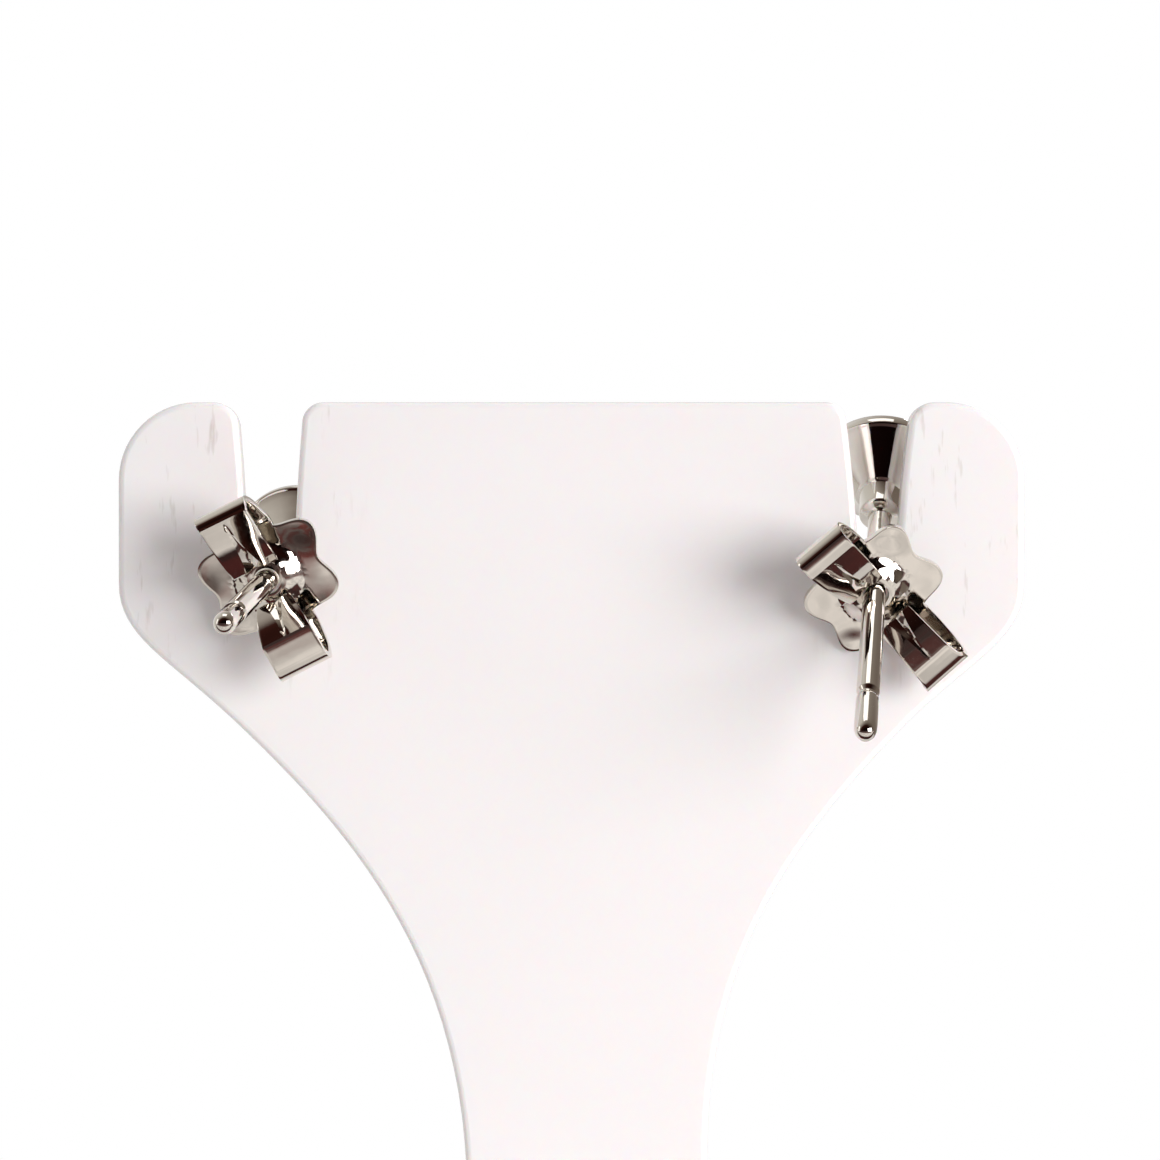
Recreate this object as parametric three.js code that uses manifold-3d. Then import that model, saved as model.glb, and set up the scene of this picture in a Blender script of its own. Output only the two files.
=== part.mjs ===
// A pair of bezel-set diamond stud earrings with butterfly backs, hung on a small acrylic stand.
// Millimetres, +Z up. Origin at the middle of the foot's flat underside. The diamonds face -Y,
// the posts and their backs stand out behind the panel, towards +Y.
import * as THREE from 'three';
import { ConvexGeometry } from 'three/addons/geometries/ConvexGeometry.js';
import { mergeVertices } from 'three/addons/utils/BufferGeometryUtils.js';
import Module from 'manifold-3d';

const wasm = await Module();
wasm.setup();

// stand: one sheet, an hourglass blank bent into a foot
const SHEET = 1.5;
const STAND_HEIGHT = 39;
const PANEL_HALF = 16;
const PANEL_CORNER = 2.75;
const SIDE_DEPTH = 6.4;
const FLANK_MID = { half: 11.9, depth: 11.27 };
const WAIST = { half: 4.26, depth: 27 };
const LEAN_FROM = 11;
const PANEL_X = 0.54;
const STEM_HALF = 5;
const BEND_INNER = 0.7;
const FOOT_END = 20.5;
const FOOT_HALF = 11;
const FOOT_CORNER = 2.5;
const FOOT_CENTRE = 11;

// the two slots that the posts hang in, open at the panel's top edge: x from the panel's middle,
// half widths at the mouth, part way down and at the round end
const SLOTS = {
  left: { x: 10.82, top: 1.1, mid: 0.81, end: 0.67, endDepth: 5.75 },
  right: { x: 10.64, top: 1.12, mid: 0.93, end: 0.84, endDepth: 5.62 },
};
const SLOT_MID_DEPTH = 3;
const SLOT_INNER_CORNER = 0.75;
const SLOT_OUTER_CORNER = 0.9;

// setting, measured along its axis from the rim's front edge
const RIM_RADIUS = 2.3;
const BAND_HEIGHT = 0.44;
const CUP_RADIUS = 2.15;
const CONE_END = { radius: 0.92, at: 1.8 };
const NECK = { radius: 0.75, from: 1.88, to: 2.94 };
const POST_RADIUS = 0.4;
const POST_TIP = 14.5;
const TIP_ROUND = 0.35;
const GROOVE_AT = 12.4;
const GROOVE_HALF = 0.17;
const GROOVE_RADIUS = 0.31;
const LIP_RADIUS = 1.72;
const SEAT_RADIUS = 1.96;
const SEAT_FROM = 0.2;
const SEAT_TO = 0.36;
const SEAT_BOTTOM = 2.08;

// round brilliant, about 0.2 carat
const GIRDLE_RADIUS = 1.9;
const TABLE_RADIUS = 1.07;
const TABLE_AT = -0.35;
const GIRDLE_FROM = 0.22;
const GIRDLE_TO = 0.3;
const CULET_AT = 1.93;
const STAR_RADIUS = 1.52;
const LOWER_HALF_RADIUS = 0.48;
const MAINS = 8;

// butterfly back, stamped from one sheet; lengths along the strips and above the flower
const BACK_SHEET = 0.26;
const FLOWER_RADIUS = 2.2;
const FLOWER_LOBE = 0.28;
const LOBES = 6;
const DOME_RADIUS = 1.25;
const DOME_TOP = 0.3;
const HOLE_RADIUS = 0.52;
const STRIP_HALF = 0.96;
const STRIP_HEIGHT = 1.8;
const STRIP_TOP = 2;
const STRIP_END_HEIGHT = 1.05;
const OUTWARD_STEPS = 16;
const FOLD_STEP = 11;
const INWARD_STEPS = 8;

// how each earring hangs: angles in degrees, drop is the post's depth below the top edge,
// fold, ridge and end are how far each strip's bends and its end lie from the post
const HANGS = {
  left: {
    x: -10.78, drop: 5.49, inFront: 5.2, droop: 41, swing: 7.3,
    back: { at: 1.88, droop: 25, swing: -7.2, spin: 45.5 },
    strips: [
      { fold: 3.4, ridge: 2.78, end: 0.72, turn: 0, ridgeHalf: 0.94, endHalf: 0.74 },
      { fold: 3.42, ridge: 2.5, end: 0.9, turn: 178, ridgeHalf: 0.78, endHalf: 0.64 },
    ],
  },
  right: {
    x: 10.42, drop: 5.95, inFront: 4.65, droop: 10.7, swing: 6.5,
    back: { at: 1.7, droop: 14.8, swing: 2.7, spin: 66.7 },
    strips: [
      { fold: 3.12, ridge: 2.8, end: 0.7, turn: -3, ridgeHalf: 0.9, endHalf: 0.86 },
      { fold: 3.1, ridge: 1.8, end: 0.68, turn: 176, ridgeHalf: 0.94, endHalf: 0.64 },
    ],
  },
};

const ACRYLIC = { color: '#f3f1ef', roughness: 0.12, metalness: 0 };
const WHITE_GOLD = { color: '#cfcac2', roughness: 0.12, metalness: 1 };
const DIAMOND = { color: '#f4f7fa', roughness: 0.02, metalness: 0 };

function solidOf(geometry) {
  const bare = geometry.clone();
  Object.keys(bare.attributes)
    .filter((name) => name !== 'position')
    .forEach((name) => bare.deleteAttribute(name));
  const merged = mergeVertices(bare, 1e-4);
  return new wasm.Manifold(new wasm.Mesh({
    numProp: 3,
    vertProperties: new Float32Array(merged.attributes.position.array),
    triVerts: new Uint32Array(merged.index.array),
  }));
}

function geometryOf(solid) {
  const mesh = solid.getMesh();
  const geometry = new THREE.BufferGeometry();
  geometry.setAttribute('position', new THREE.BufferAttribute(new Float32Array(mesh.vertProperties), 3));
  geometry.setIndex(new THREE.BufferAttribute(new Uint32Array(mesh.triVerts), 1));
  return geometry;
}

function named(name, geometry, look) {
  geometry.computeVertexNormals();
  const mesh = new THREE.Mesh(geometry, new THREE.MeshStandardMaterial(look));
  mesh.name = name;
  return mesh;
}

// joins two half outlines, both given for x >= 0 from the bottom up, into a closed shape
function closedShape(rightHalf, leftHalf) {
  const mirrored = leftHalf.map((point) => new THREE.Vector2(-point.x, point.y)).reverse();
  return new THREE.Shape([...rightHalf, ...mirrored]);
}

// the stem runs down slightly askew: its foot sits beside the middle of the panel
function leaning(point) {
  const depth = STAND_HEIGHT - point.y;
  const share = THREE.MathUtils.clamp((depth - LEAN_FROM) / (WAIST.depth - LEAN_FROM), 0, 1);
  return new THREE.Vector2(point.x + PANEL_X * (1 - share), point.y);
}

function cornerArc(path, x, z, radius, from, to) {
  path.absarc(x, z, radius, from, to, from > to);
}

// one half of the panel's front outline, from the floor up to the middle of the top edge
function panelHalfOutline(slot) {
  const top = STAND_HEIGHT;
  const bendTop = SHEET + BEND_INNER;
  const quarter = Math.PI / 2;
  const path = new THREE.Path();
  path.moveTo(PANEL_HALF, -1);
  path.lineTo(PANEL_HALF, bendTop);
  path.lineTo(STEM_HALF, bendTop);
  path.bezierCurveTo(
    STEM_HALF - 0.45, bendTop + 4, WAIST.half, top - WAIST.depth - 4, WAIST.half, top - WAIST.depth,
  );
  path.bezierCurveTo(
    WAIST.half + 0.1, top - 19.5, FLANK_MID.half - 3.9, top - FLANK_MID.depth - 3.8,
    FLANK_MID.half, top - FLANK_MID.depth,
  );
  path.bezierCurveTo(
    FLANK_MID.half + 2.35, top - FLANK_MID.depth + 2.25, PANEL_HALF, top - SIDE_DEPTH - 1.9,
    PANEL_HALF, top - SIDE_DEPTH,
  );
  path.lineTo(PANEL_HALF, top - PANEL_CORNER);
  cornerArc(path, PANEL_HALF - PANEL_CORNER, top - PANEL_CORNER, PANEL_CORNER, 0, quarter);
  const outer = slot.x + slot.top;
  cornerArc(path, outer + SLOT_OUTER_CORNER, top - SLOT_OUTER_CORNER, SLOT_OUTER_CORNER, quarter, Math.PI);
  path.quadraticCurveTo(slot.x + slot.mid, top - SLOT_MID_DEPTH, slot.x + slot.end, top - slot.endDepth);
  cornerArc(path, slot.x, top - slot.endDepth, slot.end, 0, -Math.PI);
  const inner = slot.x - slot.top;
  path.quadraticCurveTo(slot.x - slot.mid, top - SLOT_MID_DEPTH, inner, top - SLOT_INNER_CORNER);
  cornerArc(path, inner - SLOT_INNER_CORNER, top - SLOT_INNER_CORNER, SLOT_INNER_CORNER, 0, quarter);
  return path.getPoints(14);
}

// the right half of the foot's plan, from the front of the bend to the far end
function footHalfOutline() {
  const bendEnd = BEND_INNER;
  const path = new THREE.Path();
  path.moveTo(STEM_HALF, -SHEET - 1);
  path.lineTo(STEM_HALF, bendEnd);
  path.bezierCurveTo(STEM_HALF + 0.6, bendEnd + 5, FOOT_HALF, FOOT_END - 11, FOOT_HALF, FOOT_END - 6);
  path.lineTo(FOOT_HALF, FOOT_END - FOOT_CORNER);
  cornerArc(path, FOOT_HALF - FOOT_CORNER, FOOT_END - FOOT_CORNER, FOOT_CORNER, 0, Math.PI / 2);
  return path.getPoints(12);
}

function displayStand() {
  const quarter = Math.PI / 2;
  const bendOuter = SHEET + BEND_INNER;
  const side = new THREE.Shape();
  side.moveTo(FOOT_END, 0);
  side.lineTo(FOOT_END, SHEET);
  side.lineTo(BEND_INNER, SHEET);
  side.absarc(BEND_INNER, bendOuter, BEND_INNER, -quarter, -Math.PI, true);
  side.lineTo(0, STAND_HEIGHT);
  side.lineTo(-SHEET, STAND_HEIGHT);
  side.absarc(BEND_INNER, bendOuter, bendOuter, Math.PI, Math.PI + quarter, false);
  const sheet = new THREE.ExtrudeGeometry(side, {
    depth: 2 * PANEL_HALF + 4, bevelEnabled: false, curveSegments: 10,
  });
  sheet.translate(0, 0, -PANEL_HALF - 2);
  sheet.applyMatrix4(new THREE.Matrix4().set(
    0, 0, 1, 0,
    1, 0, 0, 0,
    0, 1, 0, 0,
    0, 0, 0, 1,
  ));
  const reach = FOOT_END + SHEET + 4;
  const upright = closedShape(panelHalfOutline(SLOTS.right), panelHalfOutline(SLOTS.left));
  const panel = new THREE.Shape(upright.getPoints().map(leaning));
  const front = new THREE.ExtrudeGeometry(panel, {
    depth: reach, bevelEnabled: false,
  });
  front.rotateX(quarter);
  front.translate(0, FOOT_END + 2, 0);
  const plan = new THREE.ExtrudeGeometry(closedShape(footHalfOutline(), footHalfOutline()), {
    depth: bendOuter + 1, bevelEnabled: false,
  });
  plan.translate(0, 0, -1);
  const above = new THREE.BoxGeometry(2 * PANEL_HALF + 4, 2 * SHEET + 2, STAND_HEIGHT);
  above.translate(0, -SHEET / 2, bendOuter + STAND_HEIGHT / 2);
  const limits = solidOf(plan).add(solidOf(above));
  const stand = solidOf(sheet).intersect(solidOf(front)).intersect(limits);
  return geometryOf(stand).translate(0, -FOOT_CENTRE, 0);
}

// the setting stands along +Y, its rim's front edge at y = 0
function setting() {
  const halfTip = POST_TIP - TIP_ROUND;
  const tipFlat = 0.12;
  const profile = [
    [0, SEAT_BOTTOM], [SEAT_RADIUS, SEAT_TO], [SEAT_RADIUS, SEAT_FROM], [LIP_RADIUS, 0],
    [RIM_RADIUS - 0.06, 0], [RIM_RADIUS, 0.06], [RIM_RADIUS, BAND_HEIGHT], [CUP_RADIUS, BAND_HEIGHT],
    [CONE_END.radius, CONE_END.at], [NECK.radius, NECK.from], [NECK.radius, NECK.to], [POST_RADIUS, NECK.to],
    [POST_RADIUS, GROOVE_AT - GROOVE_HALF], [GROOVE_RADIUS, GROOVE_AT],
    [POST_RADIUS, GROOVE_AT + GROOVE_HALF], [POST_RADIUS, halfTip],
    [0.33, POST_TIP - 0.12], [tipFlat, POST_TIP], [0, POST_TIP],
  ];
  return new THREE.LatheGeometry(profile.map(([r, y]) => new THREE.Vector2(r, y)), 48);
}

function brilliant() {
  const points = [];
  const ring = (count, radius, y, turn) => {
    for (let i = 0; i < count; i += 1) {
      const angle = ((i + turn) / count) * 2 * Math.PI;
      points.push(new THREE.Vector3(radius * Math.cos(angle), y, radius * Math.sin(angle)));
    }
  };
  const onMain = (radius, nearRadius, nearY, farRadius, farY) => {
    const across = radius * Math.cos(Math.PI / MAINS);
    return nearY + ((across - nearRadius) / (farRadius - nearRadius)) * (farY - nearY);
  };
  const starAt = onMain(STAR_RADIUS, TABLE_RADIUS, TABLE_AT, GIRDLE_RADIUS, GIRDLE_FROM);
  const lowerAt = onMain(LOWER_HALF_RADIUS, 0, CULET_AT, GIRDLE_RADIUS, GIRDLE_TO);
  ring(MAINS, TABLE_RADIUS, TABLE_AT, 0);
  ring(MAINS, STAR_RADIUS, starAt, 0.5);
  ring(2 * MAINS, GIRDLE_RADIUS, GIRDLE_FROM, 0);
  ring(2 * MAINS, GIRDLE_RADIUS, GIRDLE_TO, 0);
  ring(MAINS, LOWER_HALF_RADIUS, lowerAt, 0.5);
  points.push(new THREE.Vector3(0, CULET_AT, 0));
  return new ConvexGeometry(points);
}

// a closed shape of even thickness about a centre line
function ribbon(line, thickness) {
  const offset = (sign) => line.map((point, i) => {
    const before = line[Math.max(i - 1, 0)];
    const after = line[Math.min(i + 1, line.length - 1)];
    const along = new THREE.Vector2().subVectors(after, before).normalize();
    return new THREE.Vector2(
      point.x - sign * along.y * (thickness / 2), point.y + sign * along.x * (thickness / 2),
    );
  });
  return new THREE.Shape([...offset(1), ...offset(-1).reverse()]);
}

// half width of a strip at a step along its centre line: even in the lower layer, then changing
// evenly from the fold to the ridge and from there to the end beside the post
function stripHalfWidth(strip, step) {
  const { lerp } = THREE.MathUtils;
  if (step <= FOLD_STEP) {
    return STRIP_HALF;
  }
  if (step <= OUTWARD_STEPS) {
    return lerp(STRIP_HALF, strip.ridgeHalf, (step - FOLD_STEP) / (OUTWARD_STEPS - FOLD_STEP));
  }
  return lerp(strip.ridgeHalf, strip.endHalf, (step - OUTWARD_STEPS) / INWARD_STEPS);
}

function splineThrough(points, steps) {
  const through = points.map(([x, y]) => new THREE.Vector3(x, y, 0));
  const spline = new THREE.CatmullRomCurve3(through, false, 'centripetal');
  return spline.getPoints(steps).map((point) => new THREE.Vector2(point.x, point.y));
}

// from the flower out round the fold to the ridge, then down a slope that steepens towards the post
function stripLine({ fold, ridge, end }) {
  const run = ridge - end;
  const fall = STRIP_TOP - STRIP_END_HEIGHT;
  const outward = splineThrough([
    [1.3, 0], [1.95, 0.03], [0.75 * fold, 0.34], [0.92 * fold, 0.95], [fold, STRIP_HEIGHT - 0.16],
    [fold - 0.1, STRIP_HEIGHT + 0.1], [fold - 0.24, STRIP_HEIGHT + 0.17], [ridge, STRIP_TOP],
  ], OUTWARD_STEPS);
  const inward = splineThrough([
    [ridge, STRIP_TOP], [ridge - 0.5 * run, STRIP_TOP - 0.37 * fall],
    [ridge - 0.8 * run, STRIP_TOP - 0.72 * fall], [end, STRIP_END_HEIGHT],
  ], INWARD_STEPS);
  return [...outward, ...inward.slice(1)];
}

function curledStrip(strip) {
  const line = stripLine(strip);
  const curl = new THREE.ExtrudeGeometry(ribbon(line, BACK_SHEET), {
    depth: 2, steps: 1, bevelEnabled: false,
  });
  curl.translate(0, 0, -1);
  const position = curl.attributes.position;
  for (let i = 0; i < position.count; i += 1) {
    const vertex = new THREE.Vector2(position.getX(i), position.getY(i));
    const distances = line.map((point) => point.distanceTo(vertex));
    const step = distances.indexOf(Math.min(...distances));
    position.setZ(i, position.getZ(i) * stripHalfWidth(strip, step));
  }
  return curl.rotateY(-THREE.MathUtils.degToRad(strip.turn));
}

// the back lies in local x and z with its flower at y = 0, the strips curl up towards +Y
function butterflyBack(strips) {
  const flower = new THREE.Shape();
  const steps = 72;
  for (let i = 0; i < steps; i += 1) {
    const angle = (i / steps) * 2 * Math.PI;
    const radius = FLOWER_RADIUS + FLOWER_LOBE * Math.cos(LOBES * angle);
    flower[i === 0 ? 'moveTo' : 'lineTo'](radius * Math.cos(angle), radius * Math.sin(angle));
  }
  const hole = new THREE.Path();
  hole.absarc(0, 0, DOME_RADIUS - 0.1, 0, 2 * Math.PI, true);
  flower.holes.push(hole);
  const base = new THREE.ExtrudeGeometry(flower, {
    depth: BACK_SHEET, bevelEnabled: false, curveSegments: 32,
  });
  base.translate(0, 0, -BACK_SHEET / 2);
  base.rotateX(Math.PI / 2);
  const half = BACK_SHEET / 2;
  const section = [
    [HOLE_RADIUS, DOME_TOP - half], [0.72, DOME_TOP - half], [DOME_RADIUS - 0.2, -half],
    [DOME_RADIUS, -half], [DOME_RADIUS, half], [0.75, DOME_TOP + half], [HOLE_RADIUS, DOME_TOP + half],
    [HOLE_RADIUS, DOME_TOP - half],
  ];
  const dome = new THREE.LatheGeometry(section.map(([r, y]) => new THREE.Vector2(r, y)), 32);
  const flowerWithDome = solidOf(base).add(solidOf(dome));
  return geometryOf(strips.reduce((back, strip) => back.add(solidOf(curledStrip(strip))), flowerWithDome));
}

function turned(droop, swing) {
  const { degToRad } = THREE.MathUtils;
  return new THREE.Matrix4().makeRotationZ(-degToRad(swing))
    .multiply(new THREE.Matrix4().makeRotationX(-degToRad(droop)));
}

function shifted(x, y, z) {
  return new THREE.Matrix4().makeTranslation(x, y, z);
}

// puts the earring's parts where it hangs in its slot
function earring(side) {
  const hang = HANGS[side];
  const back = hang.back;
  const atPanel = shifted(PANEL_X + hang.x, -FOOT_CENTRE, STAND_HEIGHT - hang.drop);
  const along = turned(hang.droop, hang.swing);
  const settingPlace = atPanel.clone().multiply(along).multiply(shifted(0, -hang.inFront, 0));
  const holeCentre = new THREE.Vector3(0, back.at, 0).applyMatrix4(atPanel.clone().multiply(along));
  const backPlace = shifted(holeCentre.x, holeCentre.y, holeCentre.z)
    .multiply(turned(back.droop, back.swing))
    .multiply(new THREE.Matrix4().makeRotationY(-THREE.MathUtils.degToRad(back.spin)))
    .multiply(shifted(0, -DOME_TOP, 0));
  return [
    named(`${side}_setting`, setting().applyMatrix4(settingPlace), WHITE_GOLD),
    named(`${side}_diamond`, brilliant().applyMatrix4(settingPlace), DIAMOND),
    named(`${side}_butterfly_back`, butterflyBack(hang.strips).applyMatrix4(backPlace), WHITE_GOLD),
  ];
}

const group = new THREE.Group();
group.name = 'diamond_stud_earrings_on_stand';
group.add(named('display_stand', displayStand(), ACRYLIC), ...earring('left'), ...earring('right'));

export default group;
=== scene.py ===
import math

import bmesh
import bpy
from mathutils import Matrix, Vector


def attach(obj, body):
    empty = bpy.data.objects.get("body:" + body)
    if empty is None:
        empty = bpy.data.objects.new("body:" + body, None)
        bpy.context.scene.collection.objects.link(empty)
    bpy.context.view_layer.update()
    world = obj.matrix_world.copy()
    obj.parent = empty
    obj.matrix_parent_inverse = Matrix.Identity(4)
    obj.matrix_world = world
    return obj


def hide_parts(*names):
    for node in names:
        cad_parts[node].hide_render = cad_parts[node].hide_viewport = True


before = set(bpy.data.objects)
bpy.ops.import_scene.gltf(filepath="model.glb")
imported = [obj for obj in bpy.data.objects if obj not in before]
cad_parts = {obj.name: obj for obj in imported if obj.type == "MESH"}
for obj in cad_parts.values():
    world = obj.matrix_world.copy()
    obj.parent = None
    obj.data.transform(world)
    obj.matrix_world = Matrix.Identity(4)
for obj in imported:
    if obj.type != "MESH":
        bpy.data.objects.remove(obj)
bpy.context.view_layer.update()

MM = 0.001

# the stand: one acrylic sheet, cut as a flat blank and bent into its foot (millimetres)
SHEET = 1.5
EDGE_ROUND = 0.22
STAND_HEIGHT = 39.0
PANEL_HALF = 16.0
PANEL_CORNER = 2.75
SIDE_DEPTH = 6.4
FLANK_MID = (11.9, 11.27)
WAIST = (4.26, 27.0)
LEAN_FROM = 11.0
PANEL_X = 0.54
STEM_HALF = 5.0
BEND_INNER = 0.7
FOOT_END = 20.5
FOOT_HALF = 11.0
FOOT_CORNER = 2.5
FOOT_CENTRE = 11.0
FOOT_STRAIGHT = 6.0
FOOT_SWEEP = 11.0
BEND_CUTS = 14
SLOTS = {
    "left": {"x": 10.82, "top": 1.1, "mid": 0.81, "end": 0.67, "end_depth": 5.75},
    "right": {"x": 10.64, "top": 1.12, "mid": 0.93, "end": 0.84, "end_depth": 5.62},
}
SLOT_MID_DEPTH = 3.0
SLOT_INNER_CORNER = 0.75
SLOT_OUTER_CORNER = 0.9

# the butterfly back, pressed from one sheet
BACK_SHEET = 0.24
FLOWER_RADIUS = 2.2
FLOWER_LOBE = 0.28
HOLE_RADIUS = 0.47
DOME_RADIUS = 1.3
DOME_TOP = 0.3
STRIP_ROOT = 1.66
STRIP_HALF = 0.958
STRIP_HEIGHT = 1.8
END_HEIGHT = 1.05
STRIP_STEPS = 60
FOLD_STEP = 24
RIDGE_STEP = 36
CREASE = math.radians(16)
BACK_SECTORS = 192
BACK_RINGS = 14
DOME_CROWN = 0.62
LOBE_WAVE = 0.06
LOBE_WAVE_CHANGE = 0.03
TURN_STEPS = 18

# the groove pressed along each strip
GROOVE_AT_RIDGE = 0.05
GROOVE_WIDENS = 0.33
GROOVE_DEEPENS = 0.34
GROOVE_DEEPEST = 0.17
GROOVE_POINTS = 0.375

# how each earring hangs, the same numbers as the solids: drop is below the panel's top edge, in_front is
# from the rim to the panel's back face, at is from that face to the back's hole, and angles are in degrees
HANGS = {
    "left": {
        "x": -10.78, "drop": 5.49, "in_front": 5.2, "droop": 41.0, "swing": 7.3,
        "back": {"at": 1.88, "droop": 25.0, "swing": -7.2, "spin": 45.5},
        "strips": [
            {"fold": 3.4, "ridge": 2.78, "end": 0.72, "turn": 0.0, "ridge_half": 0.94, "end_half": 0.74},
            {"fold": 3.42, "ridge": 2.5, "end": 0.9, "turn": -2.0, "ridge_half": 0.78, "end_half": 0.64},
        ],
    },
    "right": {
        "x": 10.42, "drop": 5.95, "in_front": 4.65, "droop": 10.7, "swing": 6.5,
        "back": {"at": 1.7, "droop": 14.8, "swing": 2.7, "spin": 66.7},
        "strips": [
            {"fold": 3.12, "ridge": 2.8, "end": 0.7, "turn": -3.0, "ridge_half": 0.9, "end_half": 0.86},
            {"fold": 3.1, "ridge": 1.8, "end": 0.68, "turn": -4.0, "ridge_half": 0.94, "end_half": 0.64},
        ],
    },
}


def linear(hex_colour):
    """sRGB hex to linear red, green, blue, alpha"""
    channels = [int(hex_colour[i:i + 2], 16) / 255 for i in (1, 3, 5)]
    return tuple(c / 12.92 if c <= 0.04045 else ((c + 0.055) / 1.055) ** 2.4 for c in channels) + (1.0,)


def add(tree, kind, settings=None, **links):
    """adds a node; settings are attributes or input values, and links name an input and the socket that
    feeds it"""
    node = tree.nodes.new(kind)
    for key, value in (settings or {}).items():
        if isinstance(key, str) and hasattr(node, key):
            setattr(node, key, value)
        else:
            node.inputs[key].default_value = value
    for key, socket in links.items():
        name = int(key[1:]) if key[0] == "i" and key[1:].isdigit() else key.replace("_", " ")
        tree.links.new(socket, node.inputs[name])
    return node


def set_stops(ramp, stops):
    """gives a colour ramp its places and hex colours"""
    elements = ramp.color_ramp.elements
    while len(elements) < len(stops):
        elements.new(0.5)
    for element, (at, colour) in zip(elements, stops):
        element.position = at
        element.color = linear(colour)


def grain(size_mm):
    """noise scale that makes features about this many millimetres across"""
    return 1.0 / (size_mm * MM)


def new_material(name):
    """an empty node material and its output"""
    material = bpy.data.materials.new(name)
    material.use_nodes = True
    tree = material.node_tree
    tree.nodes.clear()
    output = tree.nodes.new("ShaderNodeOutputMaterial")
    return material, tree, output


def line(a, b, count=1):
    """points along a straight line, without its first point"""
    return [
        (a[0] + (b[0] - a[0]) * i / count, a[1] + (b[1] - a[1]) * i / count)
        for i in range(1, count + 1)
    ]


def arc(centre, radius, start, end, count=10):
    """points along an arc given in degrees, without its first point"""
    points = []
    for i in range(1, count + 1):
        angle = math.radians(start + (end - start) * i / count)
        points.append((centre[0] + radius * math.cos(angle), centre[1] + radius * math.sin(angle)))
    return points


def bezier(points, count=16):
    """a Bezier curve of any degree, without its first point"""
    result = []
    for i in range(1, count + 1):
        t = i / count
        level = [Vector(p) for p in points]
        while len(level) > 1:
            level = [a.lerp(b, t) for a, b in zip(level, level[1:])]
        result.append(tuple(level[0]))
    return result


def catmull(points, count):
    """points evenly stepped along a centripetal spline through the given ones"""
    pts = [Vector(p) for p in points]
    pts = [2 * pts[0] - pts[1]] + pts + [2 * pts[-1] - pts[-2]]
    result = []
    spans = len(pts) - 3
    for k in range(count + 1):
        at = k / count * spans
        i = min(int(at), spans - 1)
        p0, p1, p2, p3 = pts[i:i + 4]
        t0 = 0.0
        t1 = t0 + max((p1 - p0).length, 1e-6) ** 0.5
        t2 = t1 + max((p2 - p1).length, 1e-6) ** 0.5
        t3 = t2 + max((p3 - p2).length, 1e-6) ** 0.5
        t = t1 + (at - i) * (t2 - t1)
        a1 = p0 * ((t1 - t) / (t1 - t0)) + p1 * ((t - t0) / (t1 - t0))
        a2 = p1 * ((t2 - t) / (t2 - t1)) + p2 * ((t - t1) / (t2 - t1))
        a3 = p2 * ((t3 - t) / (t3 - t2)) + p3 * ((t - t2) / (t3 - t2))
        b1 = a1 * ((t2 - t) / (t2 - t0)) + a2 * ((t - t0) / (t2 - t0))
        b2 = a2 * ((t3 - t) / (t3 - t1)) + a3 * ((t - t1) / (t3 - t1))
        result.append(b1 * ((t2 - t) / (t2 - t1)) + b2 * ((t - t1) / (t2 - t1)))
    return result


def smooth(low, high, value):
    """0 below low, 1 above high, eased between"""
    share = min(max((value - low) / (high - low), 0.0), 1.0)
    return share * share * (3 - 2 * share)


def piece(name, mesh, material, slot, body, *nodes):
    """a dressed piece that rides a body and takes the place of the named solids"""
    thing = bpy.data.objects.new(name, mesh)
    bpy.context.scene.collection.objects.link(thing)
    mesh.materials.append(material)
    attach(thing, body)
    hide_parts(*nodes)
    return thing


def smooth_shaded(mesh):
    mesh.polygons.foreach_set("use_smooth", [True] * len(mesh.polygons))


def modifier(thing, kind, **settings):
    added = thing.modifiers.new(kind.lower(), kind)
    for key, value in settings.items():
        setattr(added, key, value)


# the foot is bent round a quarter circle, measured along the middle of the sheet
BEND_TOP = SHEET + BEND_INNER
BEND_MIDDLE = BEND_INNER + SHEET / 2
BEND_LENGTH = BEND_MIDDLE * math.pi / 2
BEND_FOOT = BEND_TOP - BEND_LENGTH


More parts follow.
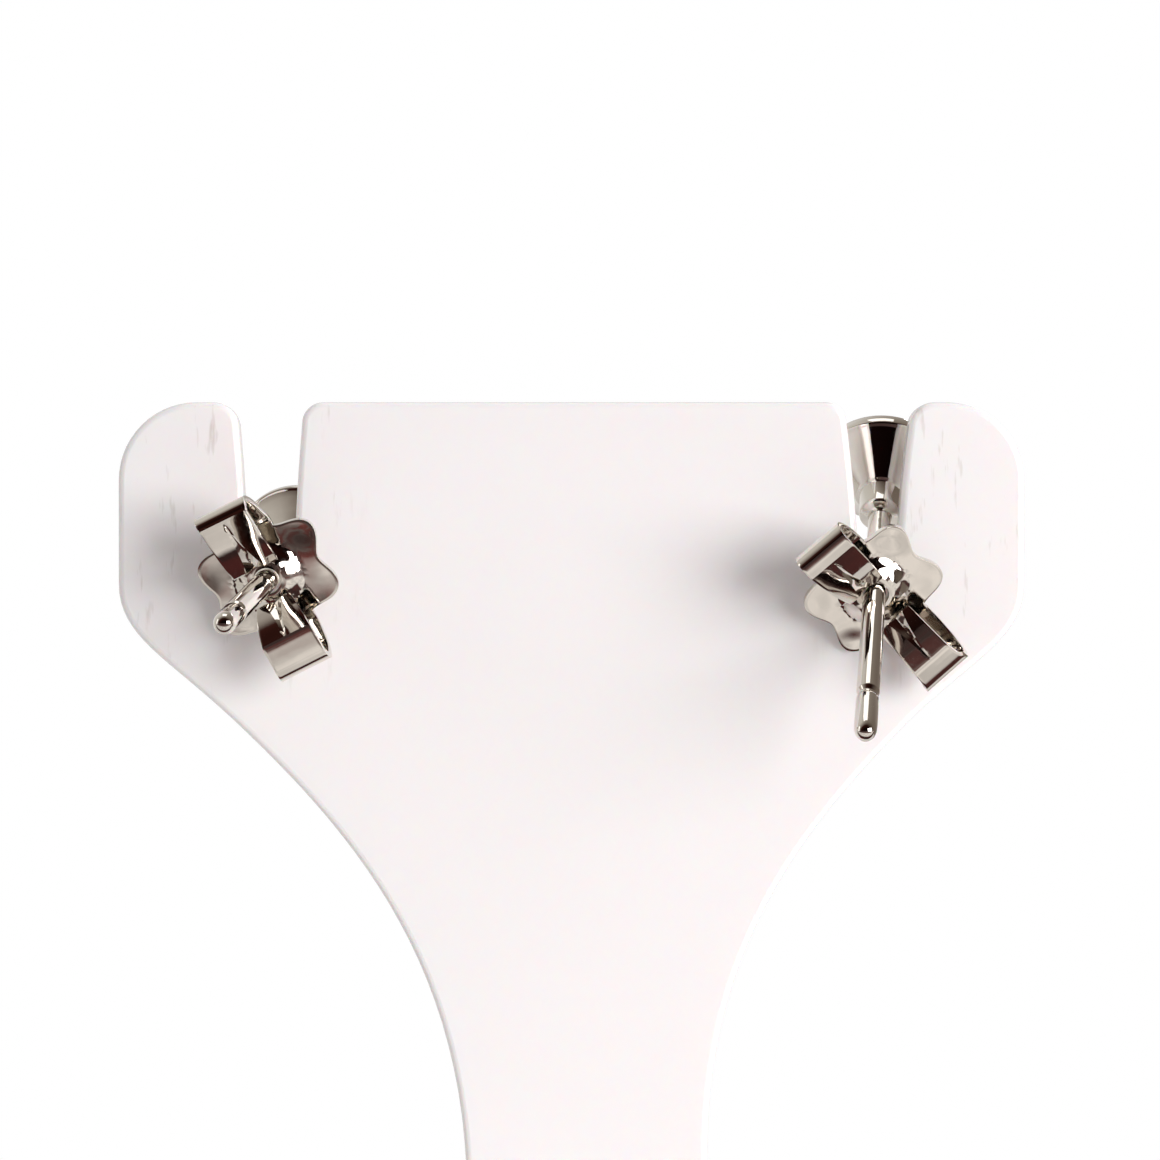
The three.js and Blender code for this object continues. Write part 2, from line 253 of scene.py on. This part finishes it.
def blank_half(slot):
    """one half of the flat blank, from the foot's end up to the middle of the top edge; y runs on past
    the bend, so the foot lies below it; the middle points of each curve are its handles"""
    top = STAND_HEIGHT
    foot_end = BEND_FOOT - (FOOT_END - BEND_INNER)
    corner = FOOT_HALF - FOOT_CORNER
    points = [(corner * i / 4, foot_end) for i in range(1, 5)]
    points += arc((corner, foot_end + FOOT_CORNER), FOOT_CORNER, -90, 0)
    points += line((FOOT_HALF, foot_end + FOOT_CORNER), (FOOT_HALF, foot_end + FOOT_STRAIGHT))
    points += bezier([
        (FOOT_HALF, foot_end + FOOT_STRAIGHT), (FOOT_HALF, foot_end + FOOT_SWEEP),
        (STEM_HALF + 0.6, BEND_FOOT - 5), (STEM_HALF, BEND_FOOT),
    ])
    points += line((STEM_HALF, BEND_FOOT), (STEM_HALF, BEND_TOP), 4)
    waist = (WAIST[0], top - WAIST[1])
    flank = (FLANK_MID[0], top - FLANK_MID[1])
    points += bezier([
        (STEM_HALF, BEND_TOP), (STEM_HALF - 0.45, BEND_TOP + 4), (waist[0], waist[1] - 4), waist,
    ])
    points += bezier([waist, (waist[0] + 0.1, top - 19.5), (flank[0] - 3.9, flank[1] - 3.8), flank], 24)
    points += bezier([
        flank, (flank[0] + 2.35, flank[1] + 2.25), (PANEL_HALF, top - SIDE_DEPTH - 1.9),
        (PANEL_HALF, top - SIDE_DEPTH),
    ])
    points += line((PANEL_HALF, top - SIDE_DEPTH), (PANEL_HALF, top - PANEL_CORNER))
    points += arc((PANEL_HALF - PANEL_CORNER, top - PANEL_CORNER), PANEL_CORNER, 0, 90, 14)
    outer = slot["x"] + slot["top"]
    inner = slot["x"] - slot["top"]
    points += line((PANEL_HALF - PANEL_CORNER, top), (outer + SLOT_OUTER_CORNER, top))
    points += arc((outer + SLOT_OUTER_CORNER, top - SLOT_OUTER_CORNER), SLOT_OUTER_CORNER, 90, 180)
    mouth = (outer, top - SLOT_OUTER_CORNER)
    end = top - slot["end_depth"]
    points += bezier([
        mouth, (slot["x"] + slot["mid"], top - SLOT_MID_DEPTH), (slot["x"] + slot["end"], end),
    ])
    points += arc((slot["x"], end), slot["end"], 0, -180, 16)
    points += bezier([
        (slot["x"] - slot["end"], end), (slot["x"] - slot["mid"], top - SLOT_MID_DEPTH),
        (inner, top - SLOT_INNER_CORNER),
    ])
    points += arc((inner - SLOT_INNER_CORNER, top - SLOT_INNER_CORNER), SLOT_INNER_CORNER, 0, 90)
    return points


def sheet_outline():
    """the whole flat blank; the panel stands a little to one side of the foot, so the stem leans"""
    right = blank_half(SLOTS["right"])
    left = [(-x, y) for x, y in reversed(blank_half(SLOTS["left"]))]
    outline = []
    for x, y in right + left:
        share = min(max((STAND_HEIGHT - y - LEAN_FROM) / (WAIST[1] - LEAN_FROM), 0), 1)
        outline.append((x + PANEL_X * (1 - share), y))
    return outline


def bent(x, y, depth):
    """a point of the flat blank, depth 0 on the back face, after the foot is bent"""
    if y >= BEND_TOP:
        return Vector((x, depth, y))
    along = (BEND_TOP - y) / BEND_LENGTH
    radius = BEND_INNER - depth
    if along <= 1:
        angle = along * math.pi / 2
        return Vector((x, BEND_INNER - radius * math.cos(angle), BEND_TOP - radius * math.sin(angle)))
    return Vector((x, BEND_INNER + (BEND_FOOT - y), BEND_TOP - radius))


def stand_mesh():
    """the blank with rounded edges, cut across at the bend and bent into the foot"""
    curve = bpy.data.curves.new("blank", "CURVE")
    curve.dimensions = "2D"
    curve.fill_mode = "BOTH"
    spline = curve.splines.new("POLY")
    outline = sheet_outline()
    spline.points.add(len(outline) - 1)
    for point, (x, y) in zip(spline.points, outline):
        point.co = (x, y, 0, 1)
    spline.use_cyclic_u = True
    curve.extrude = SHEET / 2 - EDGE_ROUND
    curve.bevel_depth = EDGE_ROUND
    curve.bevel_resolution = 3
    curve.offset = -EDGE_ROUND
    holder = bpy.data.objects.new("blank", curve)
    bpy.context.scene.collection.objects.link(holder)
    graph = bpy.context.evaluated_depsgraph_get()
    mesh = bpy.data.meshes.new_from_object(holder.evaluated_get(graph))
    bpy.data.objects.remove(holder)
    bpy.data.curves.remove(curve)
    body = bmesh.new()
    body.from_mesh(mesh)
    bmesh.ops.remove_doubles(body, verts=body.verts, dist=1e-4)
    for i in range(BEND_CUTS + 1):
        level = BEND_TOP - BEND_LENGTH * i / BEND_CUTS
        geometry = body.verts[:] + body.edges[:] + body.faces[:]
        bmesh.ops.bisect_plane(
            body, geom=geometry, dist=1e-5, plane_co=(0, level, 0), plane_no=(0, 1, 0),
        )
    bmesh.ops.recalc_face_normals(body, faces=body.faces)
    for face in body.faces:
        face.smooth = abs(face.normal.z) < 0.999
    for vert in body.verts:
        x, y, z = vert.co
        vert.co = (bent(x, y, z - SHEET / 2) - Vector((0, FOOT_CENTRE, 0))) * MM
    for face in body.faces:
        middle = face.calc_center_median()
        in_bend = middle.z < BEND_TOP * MM and middle.y < (BEND_INNER - FOOT_CENTRE) * MM
        face.smooth = face.smooth or in_bend
    bmesh.ops.recalc_face_normals(body, faces=body.faces)
    body.to_mesh(mesh)
    body.free()
    mesh.name = "stand_sheet"
    return mesh


def turned(droop, swing):
    """tipped down by droop and swung sideways, in degrees"""
    return Matrix.Rotation(-math.radians(swing), 4, "Z") @ Matrix.Rotation(-math.radians(droop), 4, "X")


def places(side):
    """where the setting and the back sit: their own frames run along +Y from the rim to the tip"""
    hang = HANGS[side]
    back = hang["back"]
    panel = Matrix.Translation((PANEL_X + hang["x"], -FOOT_CENTRE, STAND_HEIGHT - hang["drop"]))
    along = panel @ turned(hang["droop"], hang["swing"])
    setting = along @ Matrix.Translation((0, -hang["in_front"], 0))
    hole = along @ Vector((0, back["at"], 0))
    clutch = Matrix.Translation(hole) @ turned(back["droop"], back["swing"])
    clutch = clutch @ Matrix.Rotation(-math.radians(back["spin"]), 4, "Y")
    clutch = clutch @ Matrix.Translation((0, -DOME_TOP, 0))
    scale = Matrix.Scale(MM, 4)
    return scale @ setting, scale @ clutch


def lathe_mesh(name, profile, place, steps=96):
    """turns a profile of radius and height pairs about the piece's own Y axis"""
    body = bmesh.new()
    rings = []
    for radius, y in profile:
        if radius < 1e-6:
            rings.append([body.verts.new(place @ Vector((0, y, 0)))])
            continue
        ring = []
        for i in range(steps):
            angle = 2 * math.pi * i / steps
            at = Vector((radius * math.cos(angle), y, radius * math.sin(angle)))
            ring.append(body.verts.new(place @ at))
        rings.append(ring)
    for lower, upper in zip(rings, rings[1:]):
        for i in range(steps):
            j = (i + 1) % steps
            corners = [
                lower[i % len(lower)], lower[j % len(lower)],
                upper[j % len(upper)], upper[i % len(upper)],
            ]
            unique = [v for k, v in enumerate(corners) if v not in corners[:k]]
            if len(unique) > 2:
                body.faces.new(unique)
    bmesh.ops.recalc_face_normals(body, faces=body.faces)
    mesh = bpy.data.meshes.new(name)
    body.to_mesh(mesh)
    body.free()
    smooth_shaded(mesh)
    return mesh


# radius and place along the post: the seat under the stone, the rim, the cone, the neck, the post with
# its groove, and the rounded tip
SETTING_PROFILE = [
    (0, 2.08), (1.96, 0.36), (1.96, 0.2), (1.72, 0.0), (2.24, 0.0), (2.3, 0.06), (2.3, 0.4),
    (2.28, 0.44), (2.2, 0.47), (2.16, 0.5), (1.98, 0.66), (1.6, 1.06), (1.25, 1.44), (0.99, 1.72),
    (0.92, 1.8), (0.88, 1.84), (0.79, 1.86), (0.76, 1.9), (0.75, 2.8), (0.735, 2.88), (0.69, 2.93),
    (0.48, 2.94), (0.42, 2.98), (0.4, 3.04), (0.4, 12.18), (0.39, 12.24), (0.31, 12.34), (0.3, 12.4),
    (0.31, 12.46), (0.39, 12.56), (0.4, 12.62), (0.4, 13.9), (0.385, 14.12), (0.34, 14.29),
    (0.25, 14.42), (0.13, 14.485), (0, 14.5),
]


def strip_line(strip):
    """the strip's centre line as reach and height: out from its root and round the fold, over a crisp
    ridge, then down a slope that steepens towards the post"""
    fold, ridge, end = strip["fold"], strip["ridge"], strip["end"]
    top = STRIP_HEIGHT + 0.2
    fall = top - END_HEIGHT
    run = ridge - end
    outward = catmull([
        (STRIP_ROOT, 0), (1.95, 0.03), (0.75 * fold, 0.34), (0.92 * fold, 0.95),
        (fold, STRIP_HEIGHT - 0.16), (fold - 0.1, STRIP_HEIGHT + 0.1),
        (fold - 0.24, STRIP_HEIGHT + 0.17), (ridge + 0.03, top),
    ], RIDGE_STEP)
    inward = catmull([
        (ridge - 0.03, top - 0.015), (ridge - 0.5 * run, top - 0.37 * fall),
        (ridge - 0.8 * run, top - 0.72 * fall), (end, END_HEIGHT),
    ], STRIP_STEPS - RIDGE_STEP - 1)
    return outward + inward


def strip_half_width(strip, step):
    """half width along the strip, step 0 at its root and the last at its end"""
    if step < FOLD_STEP:
        return STRIP_HALF
    if step < RIDGE_STEP:
        share = (step - FOLD_STEP) / (RIDGE_STEP - FOLD_STEP)
        return STRIP_HALF + (strip["ridge_half"] - STRIP_HALF) * share
    share = (step - RIDGE_STEP) / (STRIP_STEPS - RIDGE_STEP)
    return strip["ridge_half"] + (strip["end_half"] - strip["ridge_half"]) * share


def groove_half(step):
    """half width of the pressed groove: a hair at the ridge, widest beside the post"""
    share = min(max((step - RIDGE_STEP) / (STRIP_STEPS - RIDGE_STEP), 0), 1)
    return GROOVE_AT_RIDGE + GROOVE_WIDENS * share


def row_across(root, half, step):
    """where a row's points lie across the strip: as at the root first, then with one line of points
    along each edge of the groove"""
    middle = len(root) // 2
    inner = round(middle * GROOVE_POINTS)
    narrow = groove_half(step)
    settle = smooth(0, FOLD_STEP, step)
    row = []
    for k, start in enumerate(root):
        place = abs(k - middle)
        if place <= inner:
            at = narrow * place / inner
        else:
            at = narrow + (half - narrow) * (place - inner) / (middle - inner)
        at = math.copysign(at, start)
        row.append(start * half / STRIP_HALF * (1 - settle) + at * settle)
    return row


def groove(across, step):
    """how deep the groove is pressed in"""
    share = min(max((step - RIDGE_STEP - 1) / (STRIP_STEPS - RIDGE_STEP - 1), 0), 1)
    return -min(GROOVE_DEEPENS * share, GROOVE_DEEPEST) * max(0.0, 1 - abs(across) / groove_half(step))


def back_mesh(side, place):
    """the flower with its domed hole, and two strips curled up over it; one surface, thickened later"""
    body = bmesh.new()
    in_strip = BACK_SECTORS // 12
    grid = []
    for i in range(BACK_SECTORS):
        angle = 2 * math.pi * i / BACK_SECTORS
        near = min(i, BACK_SECTORS - i, abs(i - BACK_SECTORS // 2))
        chord = near <= in_strip
        lobe = FLOWER_RADIUS + FLOWER_LOBE * math.cos(6 * angle)
        rim = STRIP_ROOT / abs(math.cos(angle)) if chord else lobe
        row = []
        for j in range(BACK_RINGS + 1):
            radius = HOLE_RADIUS + (rim - HOLE_RADIUS) * (j / BACK_RINGS) ** 0.9
            height = (DOME_TOP + 0.1) * (1 - smooth(DOME_CROWN, DOME_RADIUS, radius))
            if not chord:
                wave = LOBE_WAVE + LOBE_WAVE_CHANGE * math.sin(2 * angle + 0.7)
                height -= math.cos(3 * angle) ** 2 * wave * smooth(DOME_RADIUS, FLOWER_RADIUS, radius)
            at = Vector((radius * math.cos(angle), height, radius * math.sin(angle)))
            row.append(body.verts.new(at))
        grid.append(row)
    for i in range(BACK_SECTORS):
        a, b = grid[i], grid[(i + 1) % BACK_SECTORS]
        for j in range(BACK_RINGS):
            body.faces.new([a[j], a[j + 1], b[j + 1], b[j]])
    for number, strip in enumerate(HANGS[side]["strips"]):
        sign = 1 if number == 0 else -1
        first = 0 if number == 0 else BACK_SECTORS // 2
        root = [grid[(first + k) % BACK_SECTORS][BACK_RINGS] for k in range(-in_strip, in_strip + 1)]
        across = [sign * v.co.z for v in root]
        path = strip_line(strip)
        before = root
        for step in range(1, len(path)):
            half = strip_half_width(strip, step)
            along = (path[min(step + 1, len(path) - 1)] - path[step - 1]).normalized()
            turn = Matrix.Rotation(-math.radians(strip["turn"]) * smooth(0, TURN_STEPS, step), 3, "Y")
            row = []
            for c in row_across(across, half, step):
                dip = groove(c, step)
                reach = path[step].x + along.y * dip
                height = path[step].y - along.x * dip
                at = turn @ Vector((reach, height, c))
                row.append(body.verts.new((sign * at.x, at.y, sign * at.z)))
            for k in range(len(across) - 1):
                body.faces.new([before[k], row[k], row[k + 1], before[k + 1]])
            before = row
    bmesh.ops.recalc_face_normals(body, faces=body.faces)
    for edge in body.edges:
        edge.smooth = len(edge.link_faces) < 2 or edge.calc_face_angle() < CREASE
    for vert in body.verts:
        vert.co = place @ vert.co
    mesh = bpy.data.meshes.new(f"{side}_clutch")
    body.to_mesh(mesh)
    body.free()
    smooth_shaded(mesh)
    return mesh


def milky_acrylic():
    """cast acrylic sheet, polished: a milky white body under a clear gloss, with hairline scuffs where
    the posts are hung in and out; the scuffs are drawn 0.4 mm wide and 2.4 mm long, so that they show"""
    material, tree, output = new_material("cast_acrylic_polished")
    place = add(tree, "ShaderNodeTexCoord")
    stretch = add(tree, "ShaderNodeMapping", {"Scale": (grain(0.385), grain(0.385), grain(2.4))},
                  Vector=place.outputs["Object"])
    hairs = add(tree, "ShaderNodeTexNoise", {"Scale": 1.0, "Detail": 3.0, "Roughness": 0.7},
                Vector=stretch.outputs["Vector"])
    scuffs = add(tree, "ShaderNodeMapRange", {"From Min": 0.6, "From Max": 0.76},
                 Value=hairs.outputs["Fac"])
    split = add(tree, "ShaderNodeSeparateXYZ", None, Vector=place.outputs["Object"])
    out = add(tree, "ShaderNodeMath", {"operation": "ABSOLUTE"}, i0=split.outputs["X"])
    near_x = add(tree, "ShaderNodeMapRange", {"From Min": 7.5 * MM, "From Max": 10.5 * MM},
                 Value=out.outputs[0])
    near_z = add(tree, "ShaderNodeMapRange", {"From Min": 27.5 * MM, "From Max": 33 * MM},
                 Value=split.outputs["Z"])
    near = add(tree, "ShaderNodeMath", {"operation": "MULTIPLY"}, i0=near_x.outputs[0],
               i1=near_z.outputs[0])
    worn = add(tree, "ShaderNodeMath", {"operation": "MULTIPLY"}, i0=near.outputs[0],
               i1=scuffs.outputs[0])
    cloud = add(tree, "ShaderNodeTexNoise", {"Scale": grain(11), "Detail": 2.0},
                Vector=place.outputs["Object"])
    tint = add(tree, "ShaderNodeMixRGB", {"Color1": linear("#f4f3f3"), "Color2": linear("#f7f5f6")},
               Fac=cloud.outputs["Fac"])
    colour = add(tree, "ShaderNodeMixRGB", {"Color2": linear("#d9d4d0")}, Fac=worn.outputs[0],
                 Color1=tint.outputs["Color"])
    rough = add(tree, "ShaderNodeMapRange", {"To Min": 0.13, "To Max": 0.4}, Value=worn.outputs[0])
    bump = add(tree, "ShaderNodeBump", {"Strength": 0.12, "Distance": 0.02 * MM},
               Height=worn.outputs[0])
    shader = add(tree, "ShaderNodeBsdfPrincipled",
                 {"IOR": 1.49, "Subsurface Weight": 0.25, "Subsurface Scale": MM},
                 Base_Color=colour.outputs["Color"], Roughness=rough.outputs[0],
                 Normal=bump.outputs["Normal"])
    tree.links.new(shader.outputs[0], output.inputs[0])
    return material


def polished_white_gold():
    """rhodium plated white gold, buffed to a mirror: crisp dark and light reflections, with a faint
    waviness, and hairlines left by the buff, drawn 0.1 mm wide so that they show"""
    material, tree, output = new_material("rhodium_white_gold_polished")
    place = add(tree, "ShaderNodeTexCoord")
    wave = add(tree, "ShaderNodeTexNoise", {"Scale": grain(1.1), "Detail": 2.0},
               Vector=place.outputs["Object"])
    hairs = add(tree, "ShaderNodeTexNoise", {"Scale": grain(0.11), "Detail": 4.0},
                Vector=place.outputs["Object"])
    rough = add(tree, "ShaderNodeMapRange",
                {"From Min": 0.35, "From Max": 0.75, "To Min": 0.03, "To Max": 0.1},
                Value=hairs.outputs["Fac"])
    bump = add(tree, "ShaderNodeBump", {"Strength": 0.35, "Distance": 0.02 * MM},
               Height=wave.outputs["Fac"])
    tint = add(tree, "ShaderNodeMixRGB", {"Color1": linear("#dcd6ce"), "Color2": linear("#e6e1d9")},
               Fac=wave.outputs["Fac"])
    shader = add(tree, "ShaderNodeBsdfPrincipled", {"Metallic": 1.0},
                 Base_Color=tint.outputs["Color"], Roughness=rough.outputs[0],
                 Normal=bump.outputs["Normal"])
    tree.links.new(shader.outputs[0], output.inputs[0])
    return material


def cut_diamond():
    """near colourless diamond: flat facets, very high gloss, bright returns from inside"""
    material, tree, output = new_material("diamond_brilliant_cut")
    place = add(tree, "ShaderNodeTexCoord")
    specks = add(tree, "ShaderNodeTexNoise", {"Scale": grain(0.4), "Detail": 2.0},
                 Vector=place.outputs["Object"])
    tint = add(tree, "ShaderNodeMixRGB", {"Color1": linear("#fbfdff"), "Color2": linear("#f4f8fc")},
               Fac=specks.outputs["Fac"])
    shader = add(tree, "ShaderNodeBsdfPrincipled",
                 {"IOR": 2.417, "Transmission Weight": 1.0, "Roughness": 0.0},
                 Base_Color=tint.outputs["Color"])
    tree.links.new(shader.outputs[0], output.inputs[0])
    return material


def pale_floor():
    """matt white paper sweep: plain and pale under the stand, running out into the white of the room"""
    material, tree, output = new_material("floor_matt_white_paper")
    place = add(tree, "ShaderNodeTexCoord")
    fine_noise = add(tree, "ShaderNodeTexNoise", {"Scale": grain(2.5)}, Vector=place.outputs["Object"])
    tint = add(tree, "ShaderNodeMixRGB", {"Color1": linear("#dcdad8"), "Color2": linear("#e2e0de")},
               Fac=fine_noise.outputs["Fac"])
    shader = add(tree, "ShaderNodeBsdfPrincipled", {"Roughness": 0.9, "Specular IOR Level": 0.0},
                 Base_Color=tint.outputs["Color"])
    reach = add(tree, "ShaderNodeVectorMath", {"operation": "LENGTH"}, i0=place.outputs["Object"])
    fade = add(tree, "ShaderNodeMapRange", {"From Min": 45 * MM, "From Max": 95 * MM},
               Value=reach.outputs["Value"])
    clear = add(tree, "ShaderNodeBsdfTransparent")
    paper = add(tree, "ShaderNodeMixShader", None, i0=fade.outputs[0], i1=shader.outputs[0],
                i2=clear.outputs[0])
    tree.links.new(paper.outputs[0], output.inputs[0])
    return material


def painted_reflection_card():
    """painted reflections: dark red by the stand, pale in the middle and brown beyond, matt and mottled"""
    material, tree, output = new_material("card_painted_reflections")
    place = add(tree, "ShaderNodeTexCoord")
    split = add(tree, "ShaderNodeSeparateXYZ", None, Vector=place.outputs["Object"])
    span = add(tree, "ShaderNodeMapRange", {"From Min": -10 * MM, "From Max": 90 * MM},
               Value=split.outputs["Y"])
    # painted reflections: bands along the card, with noise patches that swap in redder bands
    bands = add(tree, "ShaderNodeValToRGB", None, Fac=span.outputs[0])
    set_stops(bands, [(0.0, "#32110f"), (0.13, "#32110f"), (0.17, "#f1ede9"), (0.45, "#f1ede9"),
                      (0.6, "#6f625e"), (1.0, "#3a2420")])
    reds = add(tree, "ShaderNodeValToRGB", None, Fac=span.outputs[0])
    set_stops(reds, [(0.0, "#4a1411"), (0.13, "#4a1411"), (0.17, "#f1ede9"), (0.45, "#f1ede9"),
                     (0.6, "#6a2f2a"), (1.0, "#3a1512")])
    blotches = add(tree, "ShaderNodeTexNoise", {"Scale": grain(13.3), "Detail": 2.0},
                   Vector=place.outputs["Object"])
    red_reflection_patches = add(tree, "ShaderNodeMapRange", {"From Min": 0.46, "From Max": 0.54},
               Value=blotches.outputs["Fac"])
    reflected_colours = add(tree, "ShaderNodeMixRGB", None, Fac=red_reflection_patches.outputs[0], Color1=bands.outputs["Color"],
                Color2=reds.outputs["Color"])
    fine_noise = add(tree, "ShaderNodeTexNoise", {"Scale": grain(9.1), "Detail": 3.0},
                 Vector=place.outputs["Object"])
    mottle = add(tree, "ShaderNodeMapRange",
                 {"From Min": 0.35, "From Max": 0.65, "To Min": 0.72, "To Max": 1.1},
                 Value=fine_noise.outputs["Fac"])
    tint = add(tree, "ShaderNodeMixRGB", {"blend_type": "MULTIPLY", "Fac": 1.0},
               Color1=reflected_colours.outputs["Color"], Color2=mottle.outputs[0])
    shader = add(tree, "ShaderNodeBsdfPrincipled", {"Roughness": 0.9}, Base_Color=tint.outputs["Color"])
    tree.links.new(shader.outputs[0], output.inputs[0])
    return material


acrylic = milky_acrylic()
gold = polished_white_gold()
diamond = cut_diamond()

stand = piece("stand_sheet", stand_mesh(), acrylic, "acrylic", "stand", "display_stand")
modifier(stand, "WEIGHTED_NORMAL", keep_sharp=True, weight=90)

for side in ("left", "right"):
    setting_place, clutch_place = places(side)
    stud = lathe_mesh(f"{side}_stud", SETTING_PROFILE, setting_place)
    piece(f"{side}_stud", stud, gold, "white_gold", "stand", f"{side}_setting")
    clutch = piece(f"{side}_clutch", back_mesh(side, clutch_place), gold, "white_gold", f"{side}_back",
                   f"{side}_butterfly_back")
    modifier(clutch, "SOLIDIFY", thickness=BACK_SHEET * MM, offset=0.0, use_even_offset=True)
    modifier(clutch, "BEVEL", width=0.05 * MM, segments=2, limit_method="ANGLE",
             angle_limit=math.radians(50))
    modifier(clutch, "WEIGHTED_NORMAL", keep_sharp=True, weight=60)
    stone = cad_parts[f"{side}_diamond"]
    stone.data.materials.clear()
    stone.data.materials.append(diamond)

FLOOR_REACH = 100 * MM
CARD_HALF = 500 * MM
CARD_NEAR = -10.5 * MM
CARD_FAR = 700 * MM
CARD_HEIGHT = 2.3 * MM

floor_mesh = bpy.data.meshes.new("floor")
floor_mesh.from_pydata([(-FLOOR_REACH, -FLOOR_REACH, 0), (FLOOR_REACH, -FLOOR_REACH, 0),
                        (FLOOR_REACH, FLOOR_REACH, 0), (-FLOOR_REACH, FLOOR_REACH, 0)],
                       [], [(0, 1, 2, 3)])
floor = bpy.data.objects.new("floor", floor_mesh)
bpy.context.scene.collection.objects.link(floor)
floor_mesh.materials.append(pale_floor())

# a card laid over the foot and the floor in front of it, which only the metal and the stones mirror
# its colours are painted reflections, seen only in the metal and the stones
card_mesh = bpy.data.meshes.new("painted_reflection_card")
card_mesh.from_pydata([(-CARD_HALF, CARD_NEAR, CARD_HEIGHT), (CARD_HALF, CARD_NEAR, CARD_HEIGHT),
                       (CARD_HALF, CARD_FAR, CARD_HEIGHT), (-CARD_HALF, CARD_FAR, CARD_HEIGHT)],
                      [], [(0, 1, 2, 3)])
card = bpy.data.objects.new("painted_reflection_card", card_mesh)
bpy.context.scene.collection.objects.link(card)
card_mesh.materials.append(painted_reflection_card())
card.visible_camera = False
card.visible_diffuse = False
card.visible_shadow = False


def softbox(name, place, target, width, height, power, colour="#ffffff"):
    """a soft rectangular light, out of the camera's sight"""
    data = bpy.data.lights.new(name, "AREA")
    data.shape = "RECTANGLE"
    data.size = width
    data.size_y = height
    data.energy = power
    data.color = linear(colour)[:3]
    light = bpy.data.objects.new(name, data)
    light.location = place
    light.rotation_euler = (Vector(target) - Vector(place)).to_track_quat("-Z", "Y").to_euler()
    light.visible_camera = False
    bpy.context.scene.collection.objects.link(light)


# places and sizes in metres, then watts: the key stands low, to the right of the lens
PANEL_MIDDLE = (0.0, -0.011, 0.033)
softbox("overhead", (0.0, -0.05, 0.42), PANEL_MIDDLE, 0.2, 0.2, 0.16)
softbox("key", (-0.25, 0.24, 0.07), PANEL_MIDDLE, 0.26, 0.2, 1.24, "#fffbfb")
softbox("front", (-0.16, -0.3, 0.2), PANEL_MIDDLE, 0.14, 0.14, 0.22)
softbox("fill", (0.36, 0.08, 0.1), PANEL_MIDDLE, 0.1, 0.3, 0.1)


def ramp_along(tree, socket, stops):
    """colours along a value that runs from -1 to 1"""
    share = add(tree, "ShaderNodeMapRange", {"From Min": -1.0, "From Max": 1.0}, Value=socket)
    ramp = add(tree, "ShaderNodeValToRGB", None, Fac=share.outputs[0])
    set_stops(ramp, stops)
    return ramp


# the room: pure white to the eye, soft white light that is stronger on the diamonds' side, and for the
# metal to mirror a pale room that is dark brown around the lens
world = bpy.data.worlds.new("studio")
world.use_nodes = True
bpy.context.scene.world = world
tree = world.node_tree
tree.nodes.clear()
view = add(tree, "ShaderNodeTexCoord")
split = add(tree, "ShaderNodeSeparateXYZ", None, Vector=view.outputs["Generated"])
mirrored = ramp_along(tree, split.outputs["Y"], [
    (0.0, "#ffffff"), (0.3, "#d6d4cf"), (0.5, "#cfcbc4"), (0.66, "#a09891"), (0.8, "#3a1d18"),
    (0.95, "#120807"),
])
soft = ramp_along(tree, split.outputs["Y"], [(0.4, "#ffffff"), (0.55, "#9a9a9a")])
sides = ramp_along(tree, split.outputs["X"], [(0.1, "#91867f"), (0.4, "#b8b1ab"), (0.75, "#ffffff")])
walls = add(tree, "ShaderNodeMixRGB", {"blend_type": "MULTIPLY", "Fac": 1.0},
            Color1=mirrored.outputs["Color"], Color2=sides.outputs["Color"])
room = add(tree, "ShaderNodeBackground", {"Strength": 1.0}, Color=walls.outputs["Color"])
glow = add(tree, "ShaderNodeBackground", {"Strength": 1.0}, Color=soft.outputs["Color"])
white = add(tree, "ShaderNodeBackground", {"Strength": 1.0, "Color": linear("#ffffff")})
ray = add(tree, "ShaderNodeLightPath")
lit = add(tree, "ShaderNodeMixShader", None, i0=ray.outputs["Is Diffuse Ray"], i1=room.outputs[0],
          i2=glow.outputs[0])
seen = add(tree, "ShaderNodeMixShader", None, i0=ray.outputs["Is Camera Ray"], i1=lit.outputs[0],
           i2=white.outputs[0])
output = tree.nodes.new("ShaderNodeOutputWorld")
tree.links.new(seen.outputs[0], output.inputs[0])

# level with the upper stand and square to its back
CAMERA_AT = (0.24 * MM, 139 * MM, 32.72 * MM)
CAMERA_LENS = 131.93
CAMERA_SENSOR = 36.0

camera_data = bpy.data.cameras.new("camera")
camera_data.lens = CAMERA_LENS
camera_data.sensor_width = CAMERA_SENSOR
camera_data.clip_start = 0.005
camera_data.clip_end = 20.0
camera = bpy.data.objects.new("camera", camera_data)
camera.location = CAMERA_AT
camera.rotation_euler = (math.pi / 2, 0.0, math.pi)
bpy.context.scene.collection.objects.link(camera)
bpy.context.scene.camera = camera
bpy.context.scene.view_settings.view_transform = "Standard"
